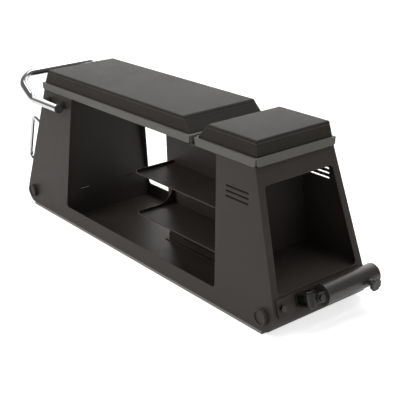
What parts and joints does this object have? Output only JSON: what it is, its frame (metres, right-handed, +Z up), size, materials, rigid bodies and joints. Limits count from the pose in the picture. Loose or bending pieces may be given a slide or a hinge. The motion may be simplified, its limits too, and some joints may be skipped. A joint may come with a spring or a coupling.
{
  "type": "multifunction weight bench",
  "caption": "Low weight bench with a flat seat, a hinged backrest, open storage bays in a folded sheet body, a carry handle and a swivelling bar socket.",
  "frame": {"origin": "on the floor under the middle of the bench's overall length and width", "axes": "+X along the bench towards the seat and the foot end, +Y across it towards the rear side, +Z up"},
  "size_m": [1.3074, 0.3482, 0.46],
  "materials": {
    "body_paint": "matte",
    "tray_paint": "matte",
    "chrome": "satin",
    "steel": "satin",
    "black_plastic": "satin",
    "upholstery": "grained",
    "board": "raw"
  },
  "bodies": {
    "body": {"side_panel_front": "body_paint", "side_panel_rear": "body_paint", "head_end_sheet": "body_paint", "foot_end_sheet": "body_paint", "floor_sheet": "body_paint", "head_partition": "body_paint", "foot_partition": "body_paint", "foot_bay_floor": "body_paint", "centre_web": "body_paint", "web_angle": "body_paint", "upper_shelves": "body_paint", "lower_shelves": "body_paint", "foot_strips": "tray_paint", "seat_tray": "tray_paint", "seat_board": "board", "seat_pad": "upholstery", "seat_bolts": "steel", "hinge_brackets": "body_paint", "hinge_pins": "steel", "lock_housing": "steel", "carry_handle": "chrome", "handle_plugs": "black_plastic", "handle_bosses": "body_paint", "handle_bolts": "steel", "grab_handles": "chrome", "band_pegs": "body_paint", "peg_bolts": "steel", "base_plate": "body_paint", "plate_bolts": "steel", "plate_nuts": "steel", "swivel_yoke": "body_paint", "yaw_bolt": "steel"},
    "backrest": {"back_tray": "tray_paint", "back_board": "board", "back_pad": "upholstery", "back_bolts": "steel", "hinge_eyes": "body_paint", "lock_quadrant": "body_paint"},
    "lock": {"lock_pin": "steel", "lock_knob": "black_plastic"},
    "swivel": {"cross_block": "body_paint"},
    "socket": {"bar_socket": "body_paint", "pitch_bolt": "steel"},
    "clamp": {"clamp_screw": "steel", "clamp_knob": "black_plastic"}
  },
  "joints": [
    {"name": "backrest_hinge", "type": "hinge", "parent": "body", "child": "backrest", "pos_m": [0.24023, 0, 0.411], "axis": [0, 1, 0], "range_deg": [0, 75]},
    {"name": "lock_slide", "type": "slide", "parent": "body", "child": "lock", "axis": [0, 1, 0], "range_m": [0, 0.012]},
    {"name": "socket_yaw", "type": "hinge", "parent": "body", "child": "swivel", "pos_m": [0.6048, -0.072, 0.0909], "axis": [0.2778, 0, -0.9606], "range_deg": [0, 180]},
    {"name": "socket_pitch", "type": "hinge", "parent": "swivel", "child": "socket", "pos_m": [0.6048, -0.052, 0.0909], "axis": [0.9606, 0, 0.2778], "range_deg": [0, 60]},
    {"name": "clamp_turn", "type": "hinge", "parent": "socket", "child": "clamp", "pos_m": [0.6048, 0.105, 0.0909], "axis": [0.9977, 0, -0.0675], "range_deg": [0, 720]}
  ]
}
